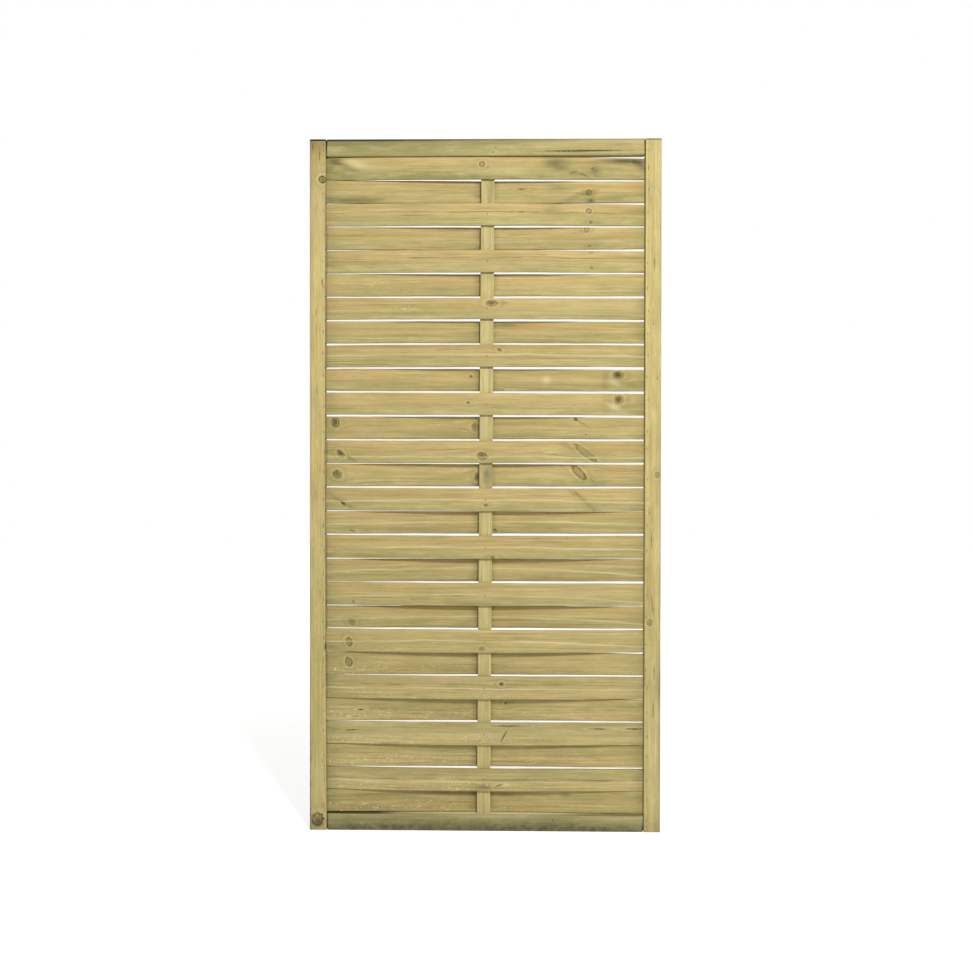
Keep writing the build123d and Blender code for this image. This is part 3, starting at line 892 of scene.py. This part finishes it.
for name in slat_names:
    number = int(name[-2:])
    rng = np.random.default_rng(100 + number)
    facing = -1.0 if number % 2 else 1.0
    underside = box_of(name)[0, 2]
    seat = batten_centre(underside + slat_width / 2)
    knots = slat_knots.get(number, ())
    slat_x = crowded(even_x, [knot[0] for knot in knots], knot_reach_along, knot_crowding)
    height = crowded(slat_section[:, 1], [knot[1] for knot in knots], knot_reach_across, knot_crowding)
    t = slat_x / slat_end
    lean, crook = rng.uniform(-slat_bend, slat_bend, 2)
    if number <= last_sagging_slat:
        lean -= right_end_sag / 2
    drift = lean * (1 + t) + crook * (1 - t ** 2)
    narrowing = (slat_wear + slat_taper * t) / 2
    upper_edge, lower_edge = np.split(np.array(slat_edges[number - 1]), 2)
    lower = underside + drift + narrowing + bent_line(t, *lower_edge)
    upper = underside + slat_width + drift - narrowing + bent_line(t, *upper_edge)
    lower = np.maximum(lower + soft_line(t / 2, 200 + number, edge_waver), rail_height - rail_dip)
    upper = np.minimum(upper + soft_line(t / 2, 300 + number, edge_waver),
                       np.interp(slat_x, *edge_above) - least_gap)
    edge_above = (slat_x, lower)
    share = height / slat_width
    z = lower[:, None] * (1 - share) + upper[:, None] * share
    y = slat_plan(slat_x, seat, facing)[:, None] + slat_section[:, 0]
    x, across, depth = np.broadcast_arrays(slat_x[:, None], height, slat_section[:, 0])
    pith = (rng.uniform(-60.0, 110.0), rng.uniform(15.0, 60.0))
    lines = []
    for kind, rows in slat_lines.items():
        if number in rows:
            *heights, half_high = rows[number]
            line = bent_line(t, *heights) + soft_line(t / 2, number, line_waver)
            lines.append((kind, line[:, None], half_high))
    marks = grain_marks(x, across, depth, seed=number, ring_gap=rng.uniform(4.5, 8.0), pith=pith,
                        taper=rng.uniform(-0.02, 0.02), knots=knots, stains=slat_stains.get(number, ()),
                        lines=lines)

    end_stain = rng.uniform(0.3, 1.0, 2)[(slat_x > 0).astype(int)][:, None]
    at_stile = bell(np.abs(x), stile_inner, stile_stain_reach) * end_stain
    upper_share = 1 / (1 + np.exp(-(share - rng.uniform(0.4, 0.55)) * parting))
    golden = ramp(number, golden_first, golden_last)
    green_part = upper_share * golden + (1 - upper_share) * (1 - golden)
    marks["olive"] += stile_green * at_stile + green * green_part
    marks["warm"] += (warm_tan - warm_loss * golden) * (1 - green_part)
    marks["dark"] += stile_dark * at_stile
    # Painted shade, with some grime, beside the batten on the slats behind it
    if facing > 0:
        for side, off, reach, strength in batten_shade_sides:
            marks["dark"] += batten_shade_and_grime * strength * bell(x, seat + side * (seat_half + off), reach)
    leftward = np.clip(fleck_middle - x / fleck_run, fleck_least, 1.0)
    marks["fleck"] += fleck_strength * golden * (1 - upper_share) * leftward
    marks["shade"] += rng.uniform(0.0, 0.05)
    for side, strength, edge in groove_shades:
        marks["shade"] += strength * (side * x > stile_inner - edge)
    slat = board_object(name + "_timber", np.dstack([x, y, z]), marks, slat_timber)
    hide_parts(name)
    slat_seats[number] = (seat, underside + slat_width / 2, facing)


# Staples: darkened square wire, driven almost flush. One holds each slat to the batten, two pin each tenon,
# and one holds each slat end through the stile's front, with its crown upright.
staple_crown = 6.0
staple_wire = 1.3
staple_proud = 0.1
staple_leg = 5.0
staple_bend = 0.5
staple_column = stile_inner + groove_depth / 2
tenon_staple_step = 8.0
slat_end_crown, slat_end_wire = 9.0, 1.0
slat_end_sway, slat_end_stray = 2.5, 12.0

staple_steel, tree, steel = new_material("staple steel")
steel_place = node(tree, "TexCoord").outputs["Object"]
rust = stretched_noise(tree, steel_place, (900, 900, 900), 3.0)
rusted = mix(tree, rise(tree, rust, 0.35, 0.65), srgb(72, 62, 44), srgb(104, 80, 50))
tree.links.new(rusted, steel.inputs["Base Color"])
tree.links.new(rise(tree, rust, 0.3, 0.7, 0.5, 0.85), steel.inputs["Roughness"])
steel.inputs["Metallic"].default_value = 0.6


def staple_object(name, places, facings, nodes, crown=staple_crown, wire=staple_wire):
    """Staples at the places, each a square wire section carried along a U: in along one leg, up the crown
    just proud of the surface, and in along the other. The facing is the side, -1 or 1 along Y, that the
    crown looks to."""
    half = (crown - wire) / 2
    path = np.array([
        (-staple_leg, -half), (-staple_bend, -half), (0.0, -half + staple_bend),
        (0.0, half - staple_bend), (-staple_bend, half), (-staple_leg, half),
    ])
    along = np.array([(1, 0), (1, 0), (1, 1), (-1, 1), (-1, 0), (-1, 0)], float)
    normal = np.stack([along[:, 1], -along[:, 0]], axis=1)
    normal /= np.abs(normal).max(axis=1, keepdims=True)
    w = wire / 2
    square = np.array([(-w, -w), (w, -w), (w, w), (-w, w)])
    out = path[:, None, 0] - w + normal[:, None, 0] * square[:, 1]
    up = path[:, None, 1] + normal[:, None, 1] * square[:, 1]
    beside = np.broadcast_to(square[:, 0], out.shape)
    places = np.array(places, float)[:, None, None, :]
    facings = np.array(facings, float)[:, None, None]
    points = np.stack([
        places[..., 0] + beside * -facings,
        places[..., 1] + facings * (out + staple_proud),
        places[..., 2] + up,
    ], axis=-1)
    count, stations, around = points.shape[:3]
    index = np.arange(count * stations * around).reshape(count, stations, around)
    faces = np.concatenate([tube_faces(index), index[:, 0, ::-1], index[:, -1]])
    mesh = bpy.data.meshes.new(name)
    mesh.from_pydata((points.reshape(-1, 3) * metres).tolist(), [], faces.tolist())
    mesh.materials.append(staple_steel)
    staples = new_object(name, mesh)
    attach(staples, "root")
    if nodes:
        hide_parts(*nodes)


slat_face = slat_bow + slat_thickness / 2
batten_places = [(seat, facing * slat_face, height) for seat, height, facing in slat_seats.values()]
batten_facings = [facing for seat, height, facing in slat_seats.values()]
staple_object("batten_staples_wire", batten_places, batten_facings, ["batten_staples"])
tenon_places = [
    (stile_side * staple_column, -frame_face, rail_middle + step)
    for stile_side in (-1, 1)
    for rail_middle in (half_rail, panel_height - half_rail)
    for step in (-tenon_staple_step, tenon_staple_step)
]
staple_object("tenon_staples_wire", tenon_places, [-1.0] * len(tenon_places), ["tenon_staples"])
rng = np.random.default_rng(7)
slat_end_places = [
    (stile_side * (staple_column + rng.uniform(-slat_end_sway, slat_end_sway)), -frame_face,
     height + rng.uniform(-slat_end_stray, slat_end_stray))
    for stile_side in (-1, 1)
    for seat, height, facing in slat_seats.values()
]
staple_object("slat_end_staples_wire", slat_end_places, [-1.0] * len(slat_end_places), [],
              crown=slat_end_crown, wire=slat_end_wire)


# Studio: a plain white floor that keeps the shadow, soft light from the upper right in front, and an even
# sky
floor_half = 6.0
glow_distances, glow_levels = (0.8, 2.4), (0.6, 0.72)
floor_mesh = bpy.data.meshes.new("floor")
floor_corners = [(x, y, 0.0) for x, y in rectangle(floor_half, -floor_half, floor_half)]
floor_mesh.from_pydata(floor_corners, [], [(0, 1, 2, 3)])
floor_paint, tree, paint = new_material("floor paint")
paint.inputs["Base Color"].default_value = (0.85, 0.85, 0.85, 1.0)
paint.inputs["Roughness"].default_value = 0.9
paint.inputs["Emission Color"].default_value = (1.0, 1.0, 1.0, 1.0)
seen = node(tree, "LightPath").outputs["Is Camera Ray"]
floor_place = node(tree, "TexCoord").outputs["Object"]
from_panel = node(tree, "VectorMath", {0: floor_place}, operation="LENGTH").outputs["Value"]
glow = product(tree, seen, rise(tree, from_panel, *glow_distances, *glow_levels))
tree.links.new(glow, paint.inputs["Emission Strength"])
floor_mesh.materials.append(floor_paint)
floor = new_object("floor", floor_mesh)

sky_level = 0.42
sky = bpy.data.worlds.new("studio sky")
sky.use_nodes = True
tree = sky.node_tree
path_kind = node(tree, "LightPath").outputs
direct = math(tree, "MAXIMUM", path_kind["Is Camera Ray"],
              math(tree, "MAXIMUM", path_kind["Is Glossy Ray"], path_kind["Is Transmission Ray"]))
sky_light = tree.nodes["Background"]
sky_light.inputs["Color"].default_value = (1.0, 1.0, 1.0, 1.0)
sky_strength = math(tree, "ADD", sky_level, product(tree, direct, 1 - sky_level))
tree.links.new(sky_strength, sky_light.inputs["Strength"])
bpy.context.scene.world = sky

key_place = np.array([1.15, -2.9, 2.9])
key_aim = np.array([0.0, 0.0, 0.95])
key_data = bpy.data.lights.new("key", "AREA")
key_data.shape = "DISK"
key_data.size = 0.6
key_data.energy = 92.0
key = new_object("key", key_data)


def look_along(thing, place, direction, roll=0.0):
    """Puts a lamp or camera at a place and turns it so that it looks along a direction, with Z up but for a
    roll."""
    aim = Vector(direction).to_track_quat("-Z", "Y")
    thing.location = place
    thing.rotation_euler = (aim @ Quaternion((0, 0, 1), roll)).to_euler()


look_along(key, key_place, key_aim - key_place)

# Camera: level with the upper part of the panel, a degree to its right, as the photograph was taken
view_distance = 2.6
view_height = 1.067
view_yaw = np.radians(0.883)
view_pitch = np.radians(-0.456)
view_roll = np.radians(0.068)
view_axis = np.array([
    -np.sin(view_yaw) * np.cos(view_pitch),
    np.cos(view_yaw) * np.cos(view_pitch),
    np.sin(view_pitch),
])
view_place = np.array([0.0, -frame_half_depth * metres, view_height]) - view_axis * view_distance
view_place[2] = view_height
camera_data = bpy.data.cameras.new("camera")
camera_data.sensor_width = 36.0
camera_data.lens = 37.085
camera_data.shift_x = 0.00108
camera_data.shift_y = -0.05802
camera = new_object("camera", camera_data)
look_along(camera, view_place, view_axis, view_roll)
bpy.context.scene.camera = camera
bpy.context.scene.view_settings.view_transform = "Standard"
